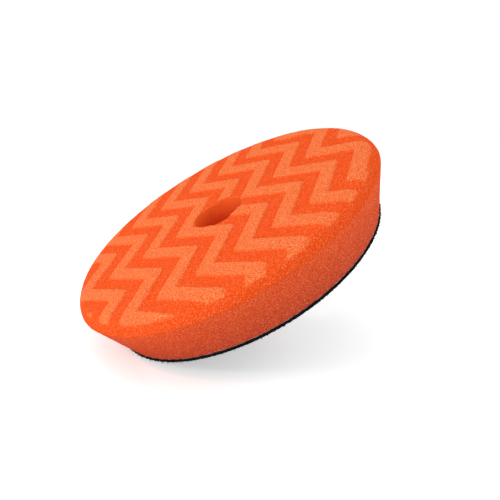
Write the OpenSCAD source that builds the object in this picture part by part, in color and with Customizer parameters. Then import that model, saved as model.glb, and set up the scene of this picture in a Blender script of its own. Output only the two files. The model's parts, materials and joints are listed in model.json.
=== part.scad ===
// Foam polishing pad for a hook-faced backing plate.
// It lies on its loops, with its working face up. The origin is under the middle of
// the loops. The zigzag bands run along Y and repeat along X.

/* [Pad] */
// Widest diameter, at the crease between the rounded edge and the side
pad_d = 150; // [110:1:200]
// Whole height, from the loops' tips to the working face
pad_h = 28; // [18:0.5:50]
// How far the widest part stands out past the backing on each side
overhang = 8.5; // [0:0.5:20]
// Radius of the rounded edge around the working face
edge_r = 8; // [3:0.1:15]
// How far the rounded edge falls from the working face to the crease
edge_drop = 5.6; // [2:0.1:10]

/* [Centre hole] */
// Diameter of the hole through the foam and the backing
hole_d = 24; // [10:0.5:50]
// Radius of the hole's soft lip at the working face
lip_r = 0.6; // [0.3:0.1:4]

/* [Pressed zigzags] */
// Distance from one ridge to the next
ridge_pitch = 17.3; // [12:0.1:30]
// Width of a ridge, measured along the pitch
ridge_w = 9; // [4:0.1:11]
// Depth of the pressed grooves between the ridges
groove_depth = 0.8; // [0.4:0.1:3]
// Length of one whole zigzag
zigzag_length = 45.2; // [30:0.1:80]
// How far a ridge swings from side to side
zigzag_swing = 16; // [4:0.5:20]
// Sideways place of the middle ridge's corner, from the pad's centre
middle_ridge_x = -1; // [-10:0.5:10]
// Radius on a ridge's outer corners
outer_corner_r = 3; // [0.5:0.1:6]
// Radius on a ridge's inner corners
inner_corner_r = 1; // [0.5:0.1:4]

/* [Backing] */
// Height of the loop pile
pile_h = 1.2; // [0.5:0.1:3]
// Thickness of the cloth's knitted ground
ground_t = 0.4; // [0.3:0.1:1]
// Thickness of the hot-melt film between the cloth and the foam
film_t = 0.2; // [0.1:0.1:0.6]

/* [Hidden] */
$fn = 128;
corner_steps = 4;  // straight pieces in each rounded corner of a zigzag
cut_over = 1;      // how far a cutting shape runs past the solid it cuts

pad_r = pad_d / 2;
backing_r = pad_r - overhang;
hole_r = hole_d / 2;

ground_z = pile_h;
film_z = ground_z + ground_t;
foam_z = film_z + film_t;

// The rounded edge leaves the face as a tangent and meets the straight side at a crease.
foot = [backing_r, foam_z];
crease = [pad_r, pad_h - edge_drop];
edge_run = sqrt(edge_r ^ 2 - (edge_r - edge_drop) ^ 2);
edge_mid = [pad_r - edge_run, pad_h - edge_r];
lip_mid = [hole_r + lip_r, pad_h - lip_r];

// A zigzag leans by this angle from the direction that it runs in.
leg = zigzag_length / 2;
lean = atan2(zigzag_swing, leg);
corners_each_way = ceil(pad_r / leg);
grooves_left = ceil((pad_r + zigzag_swing) / ridge_pitch);
grooves_right = ceil(pad_r / ridge_pitch);

function is_right_corner(k) = abs(k) % 2 == 1;

// The points of one rounded corner at [x, y], where points_to is 1 for right and -1 for left.
function corner(x, y, r, points_to) = [
    for (step = [0:corner_steps])
        let (turn = (2 * step / corner_steps - 1) * lean)
            [x + points_to * r * (cos(turn) - 1 / cos(lean)), y + r * sin(turn)]
];

// One side of a groove, from one end of the pad to the other. x is its place at a left corner.
function groove_side(x, left_corner_r, right_corner_r) = [
    for (k = [-corners_each_way:corners_each_way])
        each is_right_corner(k)
            ? corner(x + zigzag_swing, k * leg, right_corner_r, 1)
            : corner(x, k * leg, left_corner_r, -1)
];

function reversed(points) = [for (i = [len(points) - 1:-1:0]) points[i]];

module foam_profile() {
    polygon([
        [hole_r, foam_z],
        foot,
        crease,
        edge_mid,
        [edge_mid.x, pad_h],
        [lip_mid.x, pad_h],
        lip_mid,
        [hole_r, lip_mid.y]
    ]);
    intersection() {
        translate(edge_mid) circle(edge_r);
        polygon([edge_mid, crease, [pad_r, pad_h], [edge_mid.x, pad_h]]);
    }
    translate(lip_mid) circle(lip_r);
}

// The groove on the right of ridge number i, counted from the middle ridge.
module groove(i) {
    ridge_x = middle_ridge_x + i * ridge_pitch;
    left_side = groove_side(ridge_x + ridge_w / 2, inner_corner_r, outer_corner_r);
    right_side = groove_side(ridge_x + ridge_pitch - ridge_w / 2, outer_corner_r, inner_corner_r);
    translate([0, 0, pad_h - groove_depth])
        linear_extrude(groove_depth + cut_over)
            polygon(concat(left_side, reversed(right_side)));
}

// A flat ring of the backing's outline, with the hole through it.
module backing_ring(z, thickness) {
    translate([0, 0, z])
        rotate_extrude()
            translate([hole_r, 0])
                square([backing_r - hole_r, thickness]);
}

module foam_body() {
    color("#F4703C")
        difference() {
            rotate_extrude() foam_profile();
            for (i = [-grooves_left:grooves_right]) groove(i);
        }
}

module adhesive_film() {
    color("#CFC8D2") backing_ring(film_z, film_t);
}

module loop_ground() {
    color("#1B1B1D") backing_ring(ground_z, ground_t);
}

module loop_pile() {
    color("#262628") backing_ring(0, pile_h);
}

foam_body();
adhesive_film();
loop_ground();
loop_pile();
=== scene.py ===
"""A foam polishing pad: pressed orange foam, bonded by a hot-melt film to black loop cloth."""

import json
import math

import bpy
import numpy as np
from mathutils import Matrix, Vector


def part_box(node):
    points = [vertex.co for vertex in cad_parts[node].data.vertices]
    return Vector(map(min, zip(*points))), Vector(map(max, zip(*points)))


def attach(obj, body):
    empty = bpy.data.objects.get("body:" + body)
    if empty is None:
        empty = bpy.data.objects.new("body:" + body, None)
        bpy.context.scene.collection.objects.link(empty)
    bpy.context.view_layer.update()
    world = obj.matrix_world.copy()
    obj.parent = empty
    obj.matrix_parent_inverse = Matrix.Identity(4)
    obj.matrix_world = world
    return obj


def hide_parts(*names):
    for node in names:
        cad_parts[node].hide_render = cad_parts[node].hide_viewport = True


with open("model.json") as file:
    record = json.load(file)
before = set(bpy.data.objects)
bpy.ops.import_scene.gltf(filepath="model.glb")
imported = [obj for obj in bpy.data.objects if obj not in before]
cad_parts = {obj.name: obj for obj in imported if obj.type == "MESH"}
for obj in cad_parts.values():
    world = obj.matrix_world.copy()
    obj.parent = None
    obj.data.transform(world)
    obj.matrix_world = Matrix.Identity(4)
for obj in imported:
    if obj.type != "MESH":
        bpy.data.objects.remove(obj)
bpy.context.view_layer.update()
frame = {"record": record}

MM = 0.001

# A colour mix's sockets go by place, because those for plain numbers have the same names.
COLOUR_A = 6
COLOUR_B = 7
COLOUR_MIX = {"take": 2, "data_type": "RGBA"}

# Sizes that the frame gives.
foam_low, foam_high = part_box("foam_body")
film_low, film_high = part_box("adhesive_film")
ground_low, ground_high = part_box("loop_ground")
pile_low, pile_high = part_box("loop_pile")
CENTRE_HOLE = next(m for m in frame["record"]["mounts"] if m["name"] == "centre_hole")
PAD_R = foam_high.x
FACE_Z = foam_high.z
FOAM_Z = foam_low.z
BACKING_R = pile_high.x
HOLE_R = CENTRE_HOLE["dims"]["r_mm"] * MM

# The foam's rounded edge and the lip of its hole.
EDGE_R = 8.0 * MM
EDGE_DROP = 5.6 * MM
CREASE_Z = FACE_Z - EDGE_DROP
LIP_R = 0.6 * MM

# The pressed zigzags.
GROOVE_DEPTH = 0.8 * MM
RIDGE_PITCH = 17.3 * MM
RIDGE_W = 9.0 * MM
ZIGZAG_LENGTH = 45.2 * MM
ZIGZAG_SWING = 16.0 * MM
MIDDLE_RIDGE_X = -1.0 * MM
OUTER_CORNER_R = 3.0 * MM
INNER_CORNER_R = 1.0 * MM
WALL_W = 1.1 * MM  # the slope between a ridge and a groove

# The foam's open cells. Real ones are about 0.4 mm, and are drawn coarser so that they show.
CELL = 0.8 * MM
CELL_DEPTH = 0.16 * MM
SPECK = 0.52 * MM
GRIT = 0.5 * MM  # the noise that makes the specks uneven

# How unevenly the foam gives, under the hot tool and under the blade.
WANDER = 0.15 * MM
WANDER_SIZE = 2.5 * MM
SWELL = 0.12 * MM
SWELL_SIZE = 9.0 * MM

# Where each look of the foam starts and where it's full.
DUST_GONE = 2.4 * MM  # fall from the face
DUST_FULL = 1.5 * MM
SIDE_STARTS = -0.6 * MM  # fall from the crease
SIDE_FULL = 1.0 * MM
HOLE_STARTS = 0.4 * MM  # distance from the hole's wall
HOLE_FULL = 0.05 * MM
DEPTH_STARTS = 1.0 * MM  # fall from the face, down the hole
DEPTH_FULL = 14.0 * MM
BOND_HOLDS = 0.1 * MM  # height over the film, which keeps the foam's foot flat
BOND_ENDS = 0.8 * MM

# The cut backing frays within this distance of its rim, and fully at this one.
FRAY_STARTS = 1.5 * MM
FRAY_FULL = 0.2 * MM
SMEAR_SIZE = 1.6 * MM  # of the film's melted patches

# How finely the foam's skin is divided.
AROUND = 1080
STEP_SEEN = 0.42 * MM
STEP_IN_HOLE = 0.7 * MM
STEP_HIDDEN = 8.0 * MM

# The foam's UV map, which is 1 wide.
MAP_MIDDLE_R = 2.0 * MM
MAP_MARGIN = 0.005
UNDERSIDE_MAP_R = 0.08

# How finely the backing's layers and the loops' beds are divided around.
BACKING_AROUND = 900
BED_AROUND = 360


# ---------------------------------------------------------------- helpers


def linear(code):
    """The linear colour of an sRGB hex code."""
    parts = [int(code[i : i + 2], 16) / 255 for i in (1, 3, 5)]
    return [*(p / 12.92 if p <= 0.04045 else ((p + 0.055) / 1.055) ** 2.4 for p in parts), 1.0]


def add_node(tree, kind, inputs=(), take=0, **settings):
    """Adds a node and gives its output called take, or the node itself where take is None.

    Inputs go by place, or by name in a dictionary. Each is a value, or the socket that feeds it.
    """
    node = tree.nodes.new(kind)
    for name, value in settings.items():
        setattr(node, name, value)
    for key, value in inputs.items() if isinstance(inputs, dict) else enumerate(inputs):
        if isinstance(value, bpy.types.NodeSocket):
            tree.links.new(value, node.inputs[key])
        else:
            node.inputs[key].default_value = value
    return node if take is None else node.outputs[take]


def new_material(name):
    """A material with an empty tree."""
    material = bpy.data.materials.new(name)
    material.use_nodes = True
    material.node_tree.nodes.clear()
    return material


def new_object(name, points, faces):
    """A smooth mesh object from an array of points and one of faces with four corners."""
    mesh = bpy.data.meshes.new(name)
    mesh.vertices.add(len(points))
    mesh.vertices.foreach_set("co", points.astype(np.float32).ravel())
    mesh.loops.add(faces.size)
    mesh.loops.foreach_set("vertex_index", faces.astype(np.int32).ravel())
    mesh.polygons.add(len(faces))
    mesh.polygons.foreach_set("loop_start", np.arange(0, faces.size, 4, dtype=np.int32))
    mesh.update(calc_edges=True)
    mesh.validate()
    mesh.shade_smooth()
    obj = bpy.data.objects.new(name, mesh)
    bpy.context.scene.collection.objects.link(obj)
    return obj


def revolved(name, outline, around, closed=True):
    """A ring with an outline of (radius, z) points, anticlockwise as seen from -Y."""
    outline = np.array(outline)
    turns = np.linspace(0, 2 * math.pi, around, endpoint=False)
    points = np.empty((len(outline), around, 3))
    points[..., 0] = np.outer(outline[:, 0], np.cos(turns))
    points[..., 1] = np.outer(outline[:, 0], np.sin(turns))
    points[..., 2] = outline[:, 1:]
    ring = np.arange(len(outline) if closed else len(outline) - 1)[:, None]
    next_ring = (ring + 1) % len(outline)
    at = np.arange(around)[None, :]
    next_at = (at + 1) % around
    corners = ((ring, at), (ring, next_at), (next_ring, next_at), (next_ring, at))
    faces = np.stack([r * around + a for r, a in corners], axis=-1).reshape(-1, 4)
    return new_object(name, points.reshape(-1, 3), faces)


def straight(start, end, step):
    """Points from start up to but without end, about a step apart."""
    start, end = np.array(start), np.array(end)
    count = max(1, round(np.linalg.norm(end - start) / step))
    return [start + (end - start) * i / count for i in range(count)]


def arc(middle, radius, first, last, step):
    """Points on an arc from one angle up to but without another, about a step apart."""
    count = max(2, round(radius * abs(last - first) / step))
    turns = [first + (last - first) * i / count for i in range(count)]
    return [np.array(middle) + radius * np.array([math.cos(t), math.sin(t)]) for t in turns]


def new_tree(name, inputs):
    """A Geometry Nodes tree with a mesh in and out and these named inputs."""
    kinds = {"Material": "NodeSocketMaterial", "Seed": "NodeSocketInt"}
    tree = bpy.data.node_groups.new(name, "GeometryNodeTree")
    tree.interface.new_socket("Mesh", in_out="INPUT", socket_type="NodeSocketGeometry")
    tree.interface.new_socket("Mesh", in_out="OUTPUT", socket_type="NodeSocketGeometry")
    for label in inputs:
        kind = kinds.get(label, "NodeSocketFloat")
        tree.interface.new_socket(label, in_out="INPUT", socket_type=kind)
    return tree


def finish_tree(tree, mesh, material):
    """Ends a Geometry Nodes tree: real geometry that wears its material."""
    real = add_node(tree, "GeometryNodeRealizeInstances", [mesh])
    inputs = {"Geometry": real, "Material": material}
    dressed = add_node(tree, "GeometryNodeSetMaterial", inputs)
    add_node(tree, "NodeGroupOutput", [dressed], take=None)
    return tree


def run_tree(obj, tree, values):
    """Runs a Geometry Nodes tree on obj and keeps the result as its plain mesh."""
    modifier = obj.modifiers.new(tree.name, "NODES")
    modifier.node_group = tree
    for item in tree.interface.items_tree:
        if item.in_out == "INPUT" and item.name in values:
            modifier[item.identifier] = values[item.name]
    bpy.context.view_layer.update()
    depsgraph = bpy.context.evaluated_depsgraph_get()
    made = bpy.data.meshes.new_from_object(
        obj.evaluated_get(depsgraph), preserve_all_data_layers=True, depsgraph=depsgraph
    )
    obj.modifiers.remove(modifier)
    plain = obj.data
    obj.data = made
    bpy.data.meshes.remove(plain)


def hand_over(piece, node):
    """Lets a finished piece ride in the frame in place of a CAD node."""
    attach(piece, "root")
    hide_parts(node)


# ---------------------------------------------------------------- foam


def foam_outline():
    """The foam before it's pressed: its skin from the foot to the hole's bottom, and its underside."""
    foot = (BACKING_R, FOAM_Z)
    crease = (PAD_R, CREASE_Z)
    edge_run = math.sqrt(EDGE_R**2 - (EDGE_R - EDGE_DROP) ** 2)
    edge_mid = (PAD_R - edge_run, FACE_Z - EDGE_R)
    crease_turn = math.asin((EDGE_R - EDGE_DROP) / EDGE_R)
    lip_mid = (HOLE_R + LIP_R, FACE_Z - LIP_R)
    skin = [
        *straight(foot, crease, STEP_SEEN),
        *arc(edge_mid, EDGE_R, crease_turn, math.pi / 2, STEP_SEEN),
        *straight((edge_mid[0], FACE_Z), (lip_mid[0], FACE_Z), STEP_SEEN),
        *arc(lip_mid, LIP_R, math.pi / 2, math.pi, LIP_R / 3),
        *straight((HOLE_R, lip_mid[1]), (HOLE_R, FOAM_Z), STEP_IN_HOLE),
    ]
    return skin, straight((HOLE_R, FOAM_Z), foot, STEP_HIDDEN)


def lay_flat(foam, skin, underside):
    """Gives the foam the UV map that its colours are baked through.

    The skin is one disc without a seam, with the hole's bottom in the middle and the foot as its
    rim. The underside, which the film hides, is a small disc in a corner.
    """
    skin = np.array([*skin, underside[0]])
    steps = np.linalg.norm(np.diff(skin, axis=0), axis=1)
    reach = MAP_MIDDLE_R + np.append(np.cumsum(steps[::-1])[::-1], 0)
    reach *= (0.5 - MAP_MARGIN) / reach[0]
    under_reach = np.array([*underside, skin[0]])[:, 0] * (UNDERSIDE_MAP_R / BACKING_R)
    under_middle = 1 - MAP_MARGIN - UNDERSIDE_MAP_R
    turns = np.linspace(0, 2 * math.pi, AROUND, endpoint=False)
    spokes = np.stack([np.cos(turns), np.sin(turns)], axis=-1)
    rings = []
    for middle, radii, way in ((0.5, reach, (1, 1)), (under_middle, under_reach, (1, -1))):
        places = middle + radii[:, None, None] * (spokes * way)
        following = np.roll(places, -1, axis=1)
        corners = (places[:-1], following[:-1], following[1:], places[1:])
        rings.append(np.stack(corners, axis=2).reshape(-1, 2))
    layer = foam.data.uv_layers.new(name="OFBake")
    layer.uv.foreach_set("vector", np.concatenate(rings).astype(np.float32).ravel())


PRESS_INPUTS = (
    "Face height",
    "Foot height",
    "Crease height",
    "Hole radius",
    "Groove depth",
    "Ridge pitch",
    "Ridge width",
    "Zigzag length",
    "Zigzag swing",
    "Middle ridge",
    "Outer corner radius",
    "Inner corner radius",
    "Wall width",
    "Cell size",
    "Cell depth",
    "Seed",
    "Material",
)


def distance_past_ridge(tree, given, place):
    """How far a point lies outside the nearest ridge, square to its edge, or inside if negative."""
    leg = add_node(tree, "ShaderNodeMath", [given["Zigzag length"], 2.0], operation="DIVIDE")
    lean_tan = add_node(tree, "ShaderNodeMath", [given["Zigzag swing"], leg], operation="DIVIDE")
    lean = add_node(tree, "ShaderNodeMath", [lean_tan], operation="ARCTANGENT")
    lean_cos = add_node(tree, "ShaderNodeMath", [lean], operation="COSINE")
    lean_sin = add_node(tree, "ShaderNodeMath", [lean], operation="SINE")

    # The way along Y to the nearest corner that points left, and to the nearest that points right.
    to_left = add_node(tree, "ShaderNodeMath", [place["Y"], leg], operation="PINGPONG")
    to_right = add_node(tree, "ShaderNodeMath", [leg, to_left], operation="SUBTRACT")

    # The place across the nearest ridge, from the ridge's middle line.
    inputs = [to_left, lean_tan, given["Middle ridge"]]
    middle = add_node(tree, "ShaderNodeMath", inputs, operation="MULTIPLY_ADD")
    from_middle = add_node(tree, "ShaderNodeMath", [place["X"], middle], operation="SUBTRACT")
    half_pitch = add_node(tree, "ShaderNodeMath", [given["Ridge pitch"], 2.0], operation="DIVIDE")
    minus_half = add_node(tree, "ShaderNodeMath", [given["Ridge pitch"], -2.0], operation="DIVIDE")
    across = add_node(tree, "ShaderNodeMath", [from_middle, half_pitch, minus_half], operation="WRAP")
    on_left = add_node(tree, "ShaderNodeMath", [across, 0.0], operation="LESS_THAN")

    # A ridge's outer corners are rounder than its inner ones. Each draws the edge in by its inset.
    outer = given["Outer corner radius"]
    inner = given["Inner corner radius"]
    insets = []
    for distance, on_right_side, on_left_side in ((to_left, inner, outer), (to_right, outer, inner)):
        choice = {"Factor": on_left, "A": on_right_side, "B": on_left_side}
        radius = add_node(tree, "ShaderNodeMix", choice)
        reach = add_node(tree, "ShaderNodeMath", [radius, lean_sin], operation="MULTIPLY")
        near = add_node(tree, "ShaderNodeMath", [distance, reach], operation="MINIMUM")
        turn_sin = add_node(tree, "ShaderNodeMath", [near, radius], operation="DIVIDE")
        turn = add_node(tree, "ShaderNodeMath", [turn_sin], operation="ARCSINE")
        turn_cos = add_node(tree, "ShaderNodeMath", [turn], operation="COSINE")
        tip = add_node(tree, "ShaderNodeMath", [radius, lean_cos], operation="DIVIDE")
        slope = add_node(tree, "ShaderNodeMath", [near, lean_tan], operation="MULTIPLY")
        round_part = add_node(tree, "ShaderNodeMath", [radius, turn_cos], operation="MULTIPLY")
        sharp_part = add_node(tree, "ShaderNodeMath", [tip, slope], operation="SUBTRACT")
        insets.append(add_node(tree, "ShaderNodeMath", [sharp_part, round_part], operation="SUBTRACT"))
    shift = add_node(tree, "ShaderNodeMath", insets, operation="SUBTRACT")
    shifted = add_node(tree, "ShaderNodeMath", [across, shift], operation="SUBTRACT")
    from_ridge = add_node(tree, "ShaderNodeMath", [shifted], operation="ABSOLUTE")
    half_ridge = add_node(tree, "ShaderNodeMath", [given["Ridge width"], 2.0], operation="DIVIDE")
    past_edge = add_node(tree, "ShaderNodeMath", [from_ridge, half_ridge], operation="SUBTRACT")
    return add_node(tree, "ShaderNodeMath", [past_edge, lean_cos], operation="MULTIPLY")


def press_tree():
    """Geometry Nodes: presses the zigzag grooves into the foam and opens the cells of its skin."""
    tree = new_tree("Press zigzags and open cells", PRESS_INPUTS)
    given = add_node(tree, "NodeGroupInput", take=None).outputs
    position = add_node(tree, "GeometryNodeInputPosition")
    place = add_node(tree, "ShaderNodeSeparateXYZ", [position], take=None).outputs

    # The foam gives unevenly under the hot tool, so the groove's edge wanders a little.
    noise = {"Vector": position, "W": given["Seed"], "Scale": 1 / WANDER_SIZE, "Detail": 2.0}
    wander = add_node(tree, "ShaderNodeTexNoise", noise, noise_dimensions="4D")
    wander_by = add_node(tree, "ShaderNodeMapRange", [wander, 0.25, 0.75, -WANDER, WANDER])
    past_ridge = distance_past_ridge(tree, given, place)
    edge = add_node(tree, "ShaderNodeMath", [past_ridge, wander_by], operation="ADD")
    wall_from = add_node(tree, "ShaderNodeMath", [given["Wall width"], -2.0], operation="DIVIDE")
    wall_to = add_node(tree, "ShaderNodeMath", [given["Wall width"], 2.0], operation="DIVIDE")
    in_groove = add_node(
        tree, "ShaderNodeMapRange", [edge, wall_from, wall_to], interpolation_type="SMOOTHSTEP"
    )

    # The tool is flat, so it presses only what stands above the groove's floor.
    fall = add_node(tree, "ShaderNodeMath", [given["Face height"], place["Z"]], operation="SUBTRACT")
    over_floor = add_node(tree, "ShaderNodeMath", [given["Groove depth"], fall], operation="SUBTRACT")
    pressed_out = add_node(tree, "ShaderNodeMath", [over_floor, 0.0], operation="MAXIMUM")
    drop = add_node(tree, "ShaderNodeMath", [pressed_out, in_groove], operation="MULTIPLY")
    minus_drop = add_node(tree, "ShaderNodeMath", [drop, -1.0], operation="MULTIPLY")
    down = add_node(tree, "ShaderNodeCombineXYZ", {"Z": minus_drop})

    # Ridges are dusty where the tool's heat didn't reach. They fade out down the rounded edge.
    uneven_fall = add_node(tree, "ShaderNodeMath", [fall, wander_by], operation="ADD")
    fade = [uneven_fall, DUST_GONE, DUST_FULL]
    high = add_node(tree, "ShaderNodeMapRange", fade, interpolation_type="SMOOTHSTEP")
    on_ridge = add_node(tree, "ShaderNodeMath", [1.0, in_groove], operation="SUBTRACT")
    dusty = add_node(tree, "ShaderNodeMath", [on_ridge, high], operation="MULTIPLY")

    # The side and the hole are cut with a blade, and hold no dust.
    crease_z = given["Crease height"]
    below_crease = add_node(tree, "ShaderNodeMath", [crease_z, place["Z"]], operation="SUBTRACT")
    side = add_node(tree, "ShaderNodeMapRange", [below_crease, SIDE_STARTS, SIDE_FULL])
    flat_place = add_node(tree, "ShaderNodeCombineXYZ", {"X": place["X"], "Y": place["Y"]})
    radius = add_node(tree, "ShaderNodeVectorMath", [flat_place], take="Value", operation="LENGTH")
    past_hole = add_node(tree, "ShaderNodeMath", [radius, given["Hole radius"]], operation="SUBTRACT")
    in_hole = add_node(tree, "ShaderNodeMapRange", [past_hole, HOLE_STARTS, HOLE_FULL])

    # Cells are pits between thin struts, shallower where the foam is pressed.
    cell_scale = add_node(tree, "ShaderNodeMath", [1.0, given["Cell size"]], operation="DIVIDE")
    cells = {"Vector": position, "W": given["Seed"], "Scale": cell_scale}
    cell = add_node(tree, "ShaderNodeTexVoronoi", cells, voronoi_dimensions="4D")
    pit = add_node(tree, "ShaderNodeMapRange", [cell, 0.1, 0.75, -1.0, 0.3])
    openness = add_node(tree, "ShaderNodeMapRange", [in_groove, 0.0, 1.0, 1.0, 0.6])
    deep_pit = add_node(tree, "ShaderNodeMath", [pit, given["Cell depth"]], operation="MULTIPLY")
    cell_height = add_node(tree, "ShaderNodeMath", [deep_pit, openness], operation="MULTIPLY")
    noise = {"Vector": position, "W": given["Seed"], "Scale": 1 / SWELL_SIZE, "Detail": 2.0}
    swell = add_node(tree, "ShaderNodeTexNoise", noise, noise_dimensions="4D")
    swell_by = add_node(tree, "ShaderNodeMapRange", [swell, 0.2, 0.8, -SWELL, SWELL])
    foot_z = given["Foot height"]
    above_foot = add_node(tree, "ShaderNodeMath", [place["Z"], foot_z], operation="SUBTRACT")
    free = add_node(tree, "ShaderNodeMapRange", [above_foot, BOND_HOLDS, BOND_ENDS])
    height = add_node(tree, "ShaderNodeMath", [cell_height, swell_by], operation="ADD")
    relief = add_node(tree, "ShaderNodeMath", [height, free], operation="MULTIPLY")
    normal = add_node(tree, "GeometryNodeInputNormal")
    out = add_node(tree, "ShaderNodeVectorMath", {0: normal, "Scale": relief}, operation="SCALE")

    # The side is painted darker toward its foot: painted shade, as less light reaches it there.
    foot_shade_range = [above_foot, 0.0, crease_z, 1.0, 0.0]
    painted_foot_shade = add_node(tree, "ShaderNodeMapRange", foot_shade_range)

    mesh = given["Mesh"]
    named = (("dusty", dusty), ("side", side), ("hole", in_hole), ("painted_foot_shade", painted_foot_shade))
    for label, value in named:
        stored = {"Geometry": mesh, "Name": label, "Value": value}
        mesh = add_node(tree, "GeometryNodeStoreNamedAttribute", stored)
    offset = add_node(tree, "ShaderNodeVectorMath", [down, out], operation="ADD")
    mesh = add_node(tree, "GeometryNodeSetPosition", {"Geometry": mesh, "Offset": offset})
    return finish_tree(tree, mesh, given["Material"])


def foam_material():
    """Open-cell polyurethane foam, hot-pressed on its face and cut with a blade round its side.

    Open cells catch the light on their struts, so the ridges look pale and dusty. Pressed foam is
    denser, so the grooves look deeper and redder. Light sinks into the cut side, which is duller.
    """
    material = new_material("open_cell_polyurethane_foam")
    tree = material.node_tree
    place = add_node(tree, "ShaderNodeTexCoord", take="Object")
    dusty = add_node(tree, "ShaderNodeAttribute", take="Fac", attribute_name="dusty")
    side = add_node(tree, "ShaderNodeAttribute", take="Fac", attribute_name="side")
    hole = add_node(tree, "ShaderNodeAttribute", take="Fac", attribute_name="hole")
    painted_foot_shade = add_node(tree, "ShaderNodeAttribute", take="Fac", attribute_name="painted_foot_shade")

    groove, ridge = linear("#EC4E14"), linear("#F3733C")
    face = {"Factor": dusty, COLOUR_A: groove, COLOUR_B: ridge}
    skin = add_node(tree, "ShaderNodeMix", face, **COLOUR_MIX)
    # The side runs from the top colour down to a darker foot colour: painted shade.
    top, foot = linear("#FF5E2D"), linear("#D2472F")
    flank = add_node(tree, "ShaderNodeMix", {"Factor": painted_foot_shade, COLOUR_A: top, COLOUR_B: foot}, **COLOUR_MIX)
    skin = add_node(tree, "ShaderNodeMix", {"Factor": side, COLOUR_A: skin, COLOUR_B: flank}, **COLOUR_MIX)

    # Light fades down the hole and comes back redder, so its wall is tinted deeper with depth.
    z = add_node(tree, "ShaderNodeSeparateXYZ", [place], take="Z")
    fall = [z, FACE_Z - DEPTH_STARTS, FACE_Z - DEPTH_FULL]
    depth = add_node(tree, "ShaderNodeMapRange", fall)
    mouth, deep = linear("#FF6E2E"), linear("#E02C0C")
    bore = add_node(tree, "ShaderNodeMix", {"Factor": depth, COLOUR_A: mouth, COLOUR_B: deep}, **COLOUR_MIX)
    skin = add_node(tree, "ShaderNodeMix", {"Factor": hole, COLOUR_A: skin, COLOUR_B: bore}, **COLOUR_MIX)

    # Each cell is a dark pit between pale struts: the foam's speckle, drawn as painted shade in each pit
    # and painted highlights on the struts.
    cells = add_node(tree, "ShaderNodeTexVoronoi", {"Vector": place, "Scale": 1 / SPECK})
    grit = add_node(
        tree, "ShaderNodeTexNoise", {"Vector": place, "Scale": 1 / GRIT, "Detail": 1.0}
    )
    grit_by = add_node(tree, "ShaderNodeMapRange", [grit, 0.3, 0.7, -0.25, 0.25])
    speck = add_node(tree, "ShaderNodeMath", [cells, grit_by], operation="ADD")
    half_rough = add_node(tree, "ShaderNodeMath", [side, 0.5], operation="MULTIPLY")
    rough_skin = add_node(tree, "ShaderNodeMath", [dusty, half_rough], operation="MAXIMUM")
    openness = add_node(tree, "ShaderNodeMapRange", [rough_skin, 0.0, 1.0, 0.42, 0.75])
    in_light = add_node(tree, "ShaderNodeMapRange", [hole, 0.0, 1.0, 1.0, 0.25])
    contrast = add_node(tree, "ShaderNodeMath", [openness, in_light], operation="MULTIPLY")
    pit = add_node(tree, "ShaderNodeMapRange", [speck, 0.5, 0.1, 0.0, contrast])
    strut = add_node(tree, "ShaderNodeMapRange", [speck, 0.5, 1.0, 0.0, contrast])
    pit_shade_colour, strut_highlight_colour = linear("#C4380E"), linear("#FF9C66")
    painted_pit_shade = {"Factor": pit, COLOUR_A: skin, COLOUR_B: pit_shade_colour}
    colour = add_node(tree, "ShaderNodeMix", painted_pit_shade, **COLOUR_MIX)
    painted_strut_highlight = {"Factor": strut, COLOUR_A: colour, COLOUR_B: strut_highlight_colour}
    colour = add_node(tree, "ShaderNodeMix", painted_strut_highlight, **COLOUR_MIX)
    bump = add_node(
        tree, "ShaderNodeBump", {"Strength": 0.7, "Distance": 0.3 * MM, "Height": speck}
    )
    shader = add_node(
        tree,
        "ShaderNodeBsdfPrincipled",
        {
            "Base Color": colour,
            "Roughness": 0.95,
            "IOR": 1.45,
            "Specular IOR Level": 0.05,
            "Normal": bump,
        },
    )
    add_node(tree, "ShaderNodeOutputMaterial", [shader], take=None)
    return material


def make_foam():
    """Turns the foam's outline, presses it and hands it over."""
    skin, underside = foam_outline()
    foam = revolved("pressed_foam", [*skin, *underside], AROUND)
    lay_flat(foam, skin, underside)
    values = {
        "Face height": FACE_Z,
        "Foot height": FOAM_Z,
        "Crease height": CREASE_Z,
        "Hole radius": HOLE_R,
        "Groove depth": GROOVE_DEPTH,
        "Ridge pitch": RIDGE_PITCH,
        "Ridge width": RIDGE_W,
        "Zigzag length": ZIGZAG_LENGTH,
        "Zigzag swing": ZIGZAG_SWING,
        "Middle ridge": MIDDLE_RIDGE_X,
        "Outer corner radius": OUTER_CORNER_R,
        "Inner corner radius": INNER_CORNER_R,
        "Wall width": WALL_W,
        "Cell size": CELL,
        "Cell depth": CELL_DEPTH,
        "Seed": 4,
        "Material": foam_material(),
    }
    run_tree(foam, press_tree(), values)
    hand_over(foam, "foam_body")


# ---------------------------------------------------------------- backing


def flat_ring(low, high, edge_r, step, height_step):
    """The outline of a flat ring from the hole out to edge_r, between two heights."""
    return [
        *straight((edge_r, low), (edge_r, high), height_step),
        *straight((edge_r, high), (HOLE_R, high), step),
        *straight((HOLE_R, high), (HOLE_R, low), height_step),
        *straight((HOLE_R, low), (edge_r, low), step),
    ]


FRAY_INPUTS = (
    "Edge radius",
    "Edge wander",
    "Wander size",
    "Lump height",
    "Lump size",
    "Seed",
    "Material",
)


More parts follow.
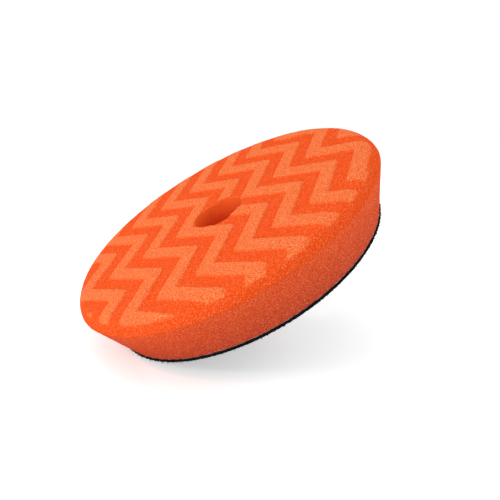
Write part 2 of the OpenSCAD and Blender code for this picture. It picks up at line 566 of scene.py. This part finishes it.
def fray_tree():
    """Geometry Nodes: makes a die-cut layer's rim uneven and its underside lumpy."""
    tree = new_tree("Fray a cut layer", FRAY_INPUTS)
    given = add_node(tree, "NodeGroupInput", take=None).outputs
    position = add_node(tree, "GeometryNodeInputPosition")
    place = add_node(tree, "ShaderNodeSeparateXYZ", [position], take=None).outputs
    flat_place = add_node(tree, "ShaderNodeCombineXYZ", {"X": place["X"], "Y": place["Y"]})
    radius = add_node(tree, "ShaderNodeVectorMath", [flat_place], take="Value", operation="LENGTH")
    outward = add_node(tree, "ShaderNodeVectorMath", [flat_place], operation="NORMALIZE")

    wander_scale = add_node(tree, "ShaderNodeMath", [1.0, given["Wander size"]], operation="DIVIDE")
    noise = {"Vector": position, "W": given["Seed"], "Scale": wander_scale, "Detail": 3.0}
    wander = add_node(tree, "ShaderNodeTexNoise", noise, noise_dimensions="4D")
    wander_by = add_node(tree, "ShaderNodeMapRange", [wander, 0.25, 0.75, -1.0, 1.0])
    to_edge = add_node(tree, "ShaderNodeMath", [given["Edge radius"], radius], operation="SUBTRACT")
    at_edge = add_node(tree, "ShaderNodeMapRange", [to_edge, FRAY_STARTS, FRAY_FULL])
    share = add_node(tree, "ShaderNodeMath", [wander_by, at_edge], operation="MULTIPLY")
    reach = add_node(tree, "ShaderNodeMath", [share, given["Edge wander"]], operation="MULTIPLY")
    sideways = add_node(
        tree, "ShaderNodeVectorMath", {0: outward, "Scale": reach}, operation="SCALE"
    )

    lump_scale = add_node(tree, "ShaderNodeMath", [1.0, given["Lump size"]], operation="DIVIDE")
    lumps = {"Vector": position, "W": given["Seed"], "Scale": lump_scale}
    lump = add_node(tree, "ShaderNodeTexVoronoi", lumps, voronoi_dimensions="4D")
    normal_z = add_node(
        tree, "ShaderNodeSeparateXYZ", [add_node(tree, "GeometryNodeInputNormal")], take="Z"
    )
    under = add_node(tree, "ShaderNodeMapRange", [normal_z, -0.2, -0.8])
    lump_up = add_node(tree, "ShaderNodeMapRange", [lump, 0.0, 0.8])
    lump_top = add_node(tree, "ShaderNodeMath", [lump_up, given["Lump height"]], operation="MULTIPLY")
    lump_by = add_node(tree, "ShaderNodeMath", [lump_top, under], operation="MULTIPLY")
    upward = add_node(tree, "ShaderNodeCombineXYZ", {"Z": lump_by})

    offset = add_node(tree, "ShaderNodeVectorMath", [sideways, upward], operation="ADD")
    mesh = add_node(tree, "GeometryNodeSetPosition", {"Geometry": given["Mesh"], "Offset": offset})
    return finish_tree(tree, mesh, given["Material"])


LOOP_INPUTS = ("Loops per area", "Loop height", "Loop width", "Yarn radius", "Tilt", "Seed", "Material")


def loop_tree():
    """Geometry Nodes: stands loops of yarn all over a surface, askew and uneven in height."""
    tree = new_tree("Stand loops of yarn", LOOP_INPUTS)
    given = add_node(tree, "NodeGroupInput", take=None).outputs
    seed = given["Seed"]
    scatter = {"Mesh": given["Mesh"], "Density": given["Loops per area"], "Seed": seed}
    spots = add_node(tree, "GeometryNodeDistributePointsOnFaces", scatter, take=None).outputs

    # One loop is a little more than half a circle of yarn, drawn out to its height.
    curve = {
        "Resolution": 7,
        "Radius": 1.0,
        "Start Angle": math.radians(-20),
        "Sweep Angle": math.radians(220),
    }
    arch = add_node(tree, "GeometryNodeCurveArc", curve)
    half_width = add_node(tree, "ShaderNodeMath", [given["Loop width"], 2.0], operation="DIVIDE")
    size = add_node(tree, "ShaderNodeCombineXYZ", [half_width, given["Loop height"], 1.0])
    arch = add_node(tree, "GeometryNodeTransform", {"Geometry": arch, "Scale": size})
    upright = {"Geometry": arch, "Rotation": (math.pi / 2, 0, 0)}
    arch = add_node(tree, "GeometryNodeTransform", upright)
    circle = {"Resolution": 3, "Radius": given["Yarn radius"]}
    yarn = add_node(tree, "GeometryNodeCurvePrimitiveCircle", circle)
    tube = {"Curve": arch, "Profile Curve": yarn, "Fill Caps": True}
    loop = add_node(tree, "GeometryNodeCurveToMesh", tube)
    loop = add_node(tree, "GeometryNodeSetShadeSmooth", {"Geometry": loop})

    placing = {"Points": spots["Points"], "Instance": loop, "Rotation": spots["Rotation"]}
    loops = add_node(tree, "GeometryNodeInstanceOnPoints", placing)
    minus_tilt = add_node(tree, "ShaderNodeMath", [given["Tilt"], -1.0], operation="MULTIPLY")
    least = add_node(tree, "ShaderNodeCombineXYZ", [minus_tilt, minus_tilt, -math.pi])
    most = add_node(tree, "ShaderNodeCombineXYZ", [given["Tilt"], given["Tilt"], math.pi])
    spread = {"Min": least, "Max": most, "Seed": seed}
    askew = add_node(tree, "FunctionNodeRandomValue", spread, data_type="FLOAT_VECTOR")
    turning = {"Instances": loops, "Rotation": askew, "Local Space": True}
    loops = add_node(tree, "GeometryNodeRotateInstances", turning)
    spread = {"Min": (0.6, 0.6, 0.55), "Max": (1.1, 1.1, 1.0), "Seed": seed}
    stretch = add_node(tree, "FunctionNodeRandomValue", spread, data_type="FLOAT_VECTOR")
    scaling = {"Instances": loops, "Scale": stretch, "Local Space": True}
    loops = add_node(tree, "GeometryNodeScaleInstances", scaling)
    return finish_tree(tree, loops, given["Material"])


def film_material():
    """Hot-melt adhesive film, melted between foam and cloth: a dull, broken, pale line at the rim."""
    material = new_material("hot_melt_film")
    tree = material.node_tree
    place = add_node(tree, "ShaderNodeTexCoord", take="Object")
    smear = add_node(
        tree, "ShaderNodeTexNoise", {"Vector": place, "Scale": 1 / SMEAR_SIZE, "Detail": 2.0}
    )
    amount = add_node(tree, "ShaderNodeMapRange", [smear, 0.35, 0.65])
    thin, thick = linear("#8A6668"), linear("#E6D8DE")
    melted = {"Factor": amount, COLOUR_A: thin, COLOUR_B: thick}
    colour = add_node(tree, "ShaderNodeMix", melted, **COLOUR_MIX)
    inputs = {"Base Color": colour, "Roughness": 0.45, "IOR": 1.5}
    shader = add_node(tree, "ShaderNodeBsdfPrincipled", inputs)
    add_node(tree, "ShaderNodeOutputMaterial", [shader], take=None)
    return material


def cloth_material(name, thread, dark, light):
    """Black polyamide, knitted and brushed: matt, with each yarn a little paler on its crown."""
    material = new_material(name)
    tree = material.node_tree
    place = add_node(tree, "ShaderNodeTexCoord", take="Object")
    strands = add_node(
        tree, "ShaderNodeTexNoise", {"Vector": place, "Scale": 1 / thread, "Detail": 2.0}
    )
    crown = add_node(tree, "ShaderNodeMapRange", [strands, 0.4, 0.65])
    bump = add_node(
        tree, "ShaderNodeBump", {"Strength": 0.6, "Distance": thread / 2, "Height": strands}
    )
    shades = {"Factor": crown, COLOUR_A: linear(dark), COLOUR_B: linear(light)}
    colour = add_node(tree, "ShaderNodeMix", shades, **COLOUR_MIX)
    shader = add_node(
        tree,
        "ShaderNodeBsdfPrincipled",
        {
            "Base Color": colour,
            "Roughness": 0.85,
            "IOR": 1.53,
            "Specular IOR Level": 0.15,
            "Normal": bump,
        },
    )
    add_node(tree, "ShaderNodeOutputMaterial", [shader], take=None)
    return material


def make_backing():
    """Stacks the film, the cloth's ground, its brushed mat and its loops under the foam."""
    fray = fray_tree()
    loops = loop_tree()
    knit = cloth_material("warp_knitted_polyamide", thread=0.4 * MM, dark="#040405", light="#0C0C0E")
    yarn = cloth_material("brushed_polyamide_yarn", thread=0.2 * MM, dark="#050506", light="#121214")

    # The standing loops are the same black yarn, painted paler as a painted sheen so that they show in the
    # shade under the pad, and so can be told from the mat behind them.
    sheen_painted_pile_yarn = cloth_material("looped_polyamide_yarn", thread=0.2 * MM, dark="#2A2A2E", light="#6A6A72")

    # The film draws back from the cut as it melts.
    film_r = BACKING_R - 0.1 * MM
    outline = flat_ring(film_low.z, film_high.z, film_r, step=4 * MM, height_step=0.1 * MM)
    film = revolved("melted_film", outline, BACKING_AROUND)
    values = {
        "Edge radius": film_r,
        "Edge wander": 0.14 * MM,
        "Wander size": 2.5 * MM,
        "Lump height": 0.0,
        "Lump size": 1.0 * MM,
        "Seed": 1,
        "Material": film_material(),
    }
    run_tree(film, fray, values)
    hand_over(film, "adhesive_film")

    outline = flat_ring(ground_low.z, ground_high.z, BACKING_R, step=1.5 * MM, height_step=0.2 * MM)
    ground = revolved("knitted_ground", outline, BACKING_AROUND)
    values = {
        "Edge radius": BACKING_R,
        "Edge wander": 0.16 * MM,
        "Wander size": 0.9 * MM,
        "Lump height": 0.1 * MM,
        "Lump size": 0.9 * MM,
        "Seed": 2,
        "Material": knit,
    }
    run_tree(ground, fray, values)
    hand_over(ground, "loop_ground")

    # The loops' feet are brushed into a mat.
    mat_z = pile_low.z + 0.1 * MM
    outline = flat_ring(mat_z, pile_high.z, BACKING_R, step=1.2 * MM, height_step=0.15 * MM)
    mat_yarn = cloth_material("brushed_polyamide_mat", thread=0.3 * MM, dark="#09090A", light="#2A2A2E")
    mat = revolved("matted_pile", outline, BACKING_AROUND)
    values = {
        "Edge radius": BACKING_R,
        "Edge wander": 0.3 * MM,
        "Wander size": 0.8 * MM,
        "Lump height": 0.5 * MM,
        "Lump size": 1.1 * MM,
        "Seed": 3,
        "Material": mat_yarn,
    }
    run_tree(mat, fray, values)
    hand_over(mat, "loop_pile")

    # Real loops are finer and far denser, and are drawn coarser and fewer so that they show. Those
    # at the cut rim lean every way, and a few stray ones stick out.
    root_z = pile_low.z + 1.15 * MM
    under = ((HOLE_R + 0.4 * MM, root_z), (BACKING_R - 0.3 * MM, root_z))
    rim = ((BACKING_R - 0.2 * MM, pile_low.z + 0.35 * MM), (BACKING_R, pile_high.z))
    high_rim = ((BACKING_R - 0.1 * MM, pile_low.z + 0.8 * MM), (BACKING_R, pile_high.z))
    pile_sizes = {
        "Loops per area": 0.36 / MM**2,
        "Loop height": 0.85 * MM,
        "Loop width": 1.3 * MM,
        "Yarn radius": 0.11 * MM,
        "Tilt": math.radians(28),
        "Material": sheen_painted_pile_yarn,
    }
    rim_sizes = {
        "Loops per area": 4.0 / MM**2,
        "Loop height": 0.6 * MM,
        "Loop width": 0.6 * MM,
        "Yarn radius": 0.09 * MM,
        "Tilt": math.radians(50),
        "Material": yarn,
    }
    stray_sizes = {
        **rim_sizes,
        "Loops per area": 1.6 / MM**2,
        "Loop height": 1.3 * MM,
        "Yarn radius": 0.11 * MM,
    }
    beds = (
        ("pile_loops", under, pile_sizes),
        ("rim_loops", rim, rim_sizes),
        ("stray_loops", high_rim, stray_sizes),
    )
    for seed, (name, outline, sizes) in enumerate(beds):
        piece = revolved(name, outline, BED_AROUND, closed=False)
        run_tree(piece, loops, {**sizes, "Seed": seed})
        hand_over(piece, "loop_pile")


# ---------------------------------------------------------------- stage

CAMERA_AZIMUTH = math.radians(-4.33)
CAMERA_ELEVATION = math.radians(25.32)
CAMERA_ROLL = math.radians(30.13)
CAMERA_DISTANCE = 275.7 * MM
CAMERA_RIGHT = 14.7 * MM
CAMERA_DOWN = 17.7 * MM
CLIP_START = 10 * MM
LENS = 43.97  # in mm, for a sensor 36 mm wide
WALL_GLOW = 0.64
FLOOR_WHITE = 0.95  # what the camera sees
FLOOR_GLOW = 0.37
FLOOR_BOUNCE = 0.72  # what all other light meets
FLOOR_HALF = 1.5  # half the floor's width, in metres
FLOOR_LEAN = math.radians(14)  # how far the floor tips towards the camera


def camera_axes():
    """Right and up in the camera's view, and the way back from the pad to the camera."""
    azimuth, elevation, roll = CAMERA_AZIMUTH, CAMERA_ELEVATION, CAMERA_ROLL
    level = Vector((math.cos(azimuth), math.sin(azimuth), 0))
    ahead = Vector((-math.sin(azimuth), math.cos(azimuth), 0))
    back = Vector((0, 0, math.sin(elevation))) - math.cos(elevation) * ahead
    upright = back.cross(level)
    right = math.cos(roll) * level - math.sin(roll) * upright
    up = math.sin(roll) * level + math.cos(roll) * upright
    return right, up, back


def make_camera():
    """The camera, which looks down at the face from the front and leans to its side."""
    right, up, back = camera_axes()
    data = bpy.data.cameras.new("camera")
    data.lens = LENS
    data.clip_start = CLIP_START
    camera = bpy.data.objects.new("camera", data)
    face_middle = Vector((0, 0, FACE_Z))
    place = face_middle + CAMERA_RIGHT * right - CAMERA_DOWN * up + CAMERA_DISTANCE * back
    turn = Matrix((right, up, back)).transposed().to_4x4()
    camera.matrix_world = Matrix.Translation(place) @ turn
    bpy.context.scene.collection.objects.link(camera)
    bpy.context.scene.camera = camera


def make_light(name, kind, place, energy, **settings):
    """A light at a place, which shines on the middle of the face."""
    data = bpy.data.lights.new(name, kind)
    data.energy = energy
    for setting, value in settings.items():
        setattr(data, setting, value)
    light = bpy.data.objects.new(name, data)
    light.location = Vector(place)
    towards = light.location - Vector((0, 0, FACE_Z))
    light.rotation_euler = towards.to_track_quat("Z", "Y").to_euler()
    bpy.context.scene.collection.objects.link(light)


def make_world():
    """An even white studio, whose walls the camera sees as pure white."""
    world = bpy.data.worlds.new("white_studio")
    world.use_nodes = True
    tree = world.node_tree
    tree.nodes.clear()
    in_view = add_node(tree, "ShaderNodeLightPath", take="Is Camera Ray")
    strength = add_node(tree, "ShaderNodeMapRange", [in_view, 0.0, 1.0, WALL_GLOW, 1.0])
    walls = {"Color": linear("#FFFFFF"), "Strength": strength}
    light = add_node(tree, "ShaderNodeBackground", walls)
    add_node(tree, "ShaderNodeOutputWorld", [light], take=None)
    bpy.context.scene.world = world


def make_floor():
    """A light table of white acrylic, level in the camera's view, that the leaning pad's rim touches.

    The camera sees it white, but it throws less light back on the pad. From below it's clear, so
    that it hides nothing from a camera on the far side.
    """
    material = new_material("white_acrylic_light_table")
    tree = material.node_tree
    in_view = add_node(tree, "ShaderNodeLightPath", take="Is Camera Ray")
    white = add_node(tree, "ShaderNodeMapRange", [in_view, 0.0, 1.0, FLOOR_BOUNCE, FLOOR_WHITE])
    matt = {"Base Color": white, "Roughness": 1.0, "Specular IOR Level": 0.0}
    strength = add_node(tree, "ShaderNodeMath", [in_view, FLOOR_GLOW], operation="MULTIPLY")
    glow = {"Emission Color": linear("#FFFFFF"), "Emission Strength": strength}
    top = add_node(tree, "ShaderNodeBsdfPrincipled", {**matt, **glow})
    clear = add_node(tree, "ShaderNodeBsdfTransparent")
    from_below = add_node(tree, "ShaderNodeNewGeometry", take="Backfacing")
    shader = add_node(tree, "ShaderNodeMixShader", [from_below, top, clear])
    add_node(tree, "ShaderNodeOutputMaterial", [shader], take=None)
    right, up, back = camera_axes()
    normal = math.cos(FLOOR_LEAN) * up + math.sin(FLOOR_LEAN) * back
    lowest = -BACKING_R * Vector((normal.x, normal.y, 0)).normalized()
    across = normal.orthogonal().normalized()
    along = normal.cross(across)
    turns = ((-1, -1), (1, -1), (1, 1), (-1, 1))
    corners = [lowest + FLOOR_HALF * (x * across + y * along) for x, y in turns]
    floor = new_object("floor", np.array(corners), np.array([[0, 1, 2, 3]]))
    floor.data.materials.append(material)


make_camera()
make_world()

# Places are in metres from the middle of the pad's foot. A sun's place gives only its direction.
make_light("key", "SUN", (-0.4, -0.15, 1.0), 0.24, angle=math.radians(60))
make_light("window", "SUN", (-0.23, -0.11, 0.97), 0.22, angle=math.radians(5))
make_light("front_softbox", "AREA", (-0.3, -0.55, 0.35), 1.0, size=0.35)
make_light("left_softbox", "AREA", (-0.32, -0.07, 0.35), 0.6, size=0.12)
make_light("far_softbox", "AREA", (0.05, 0.35, 0.4), 0.45, size=0.4)
make_light("right_softbox", "AREA", (0.6, -0.1, 0.1), 1.2, size=0.4)
make_floor()
make_foam()
make_backing()
bpy.context.scene.view_settings.view_transform = "Standard"
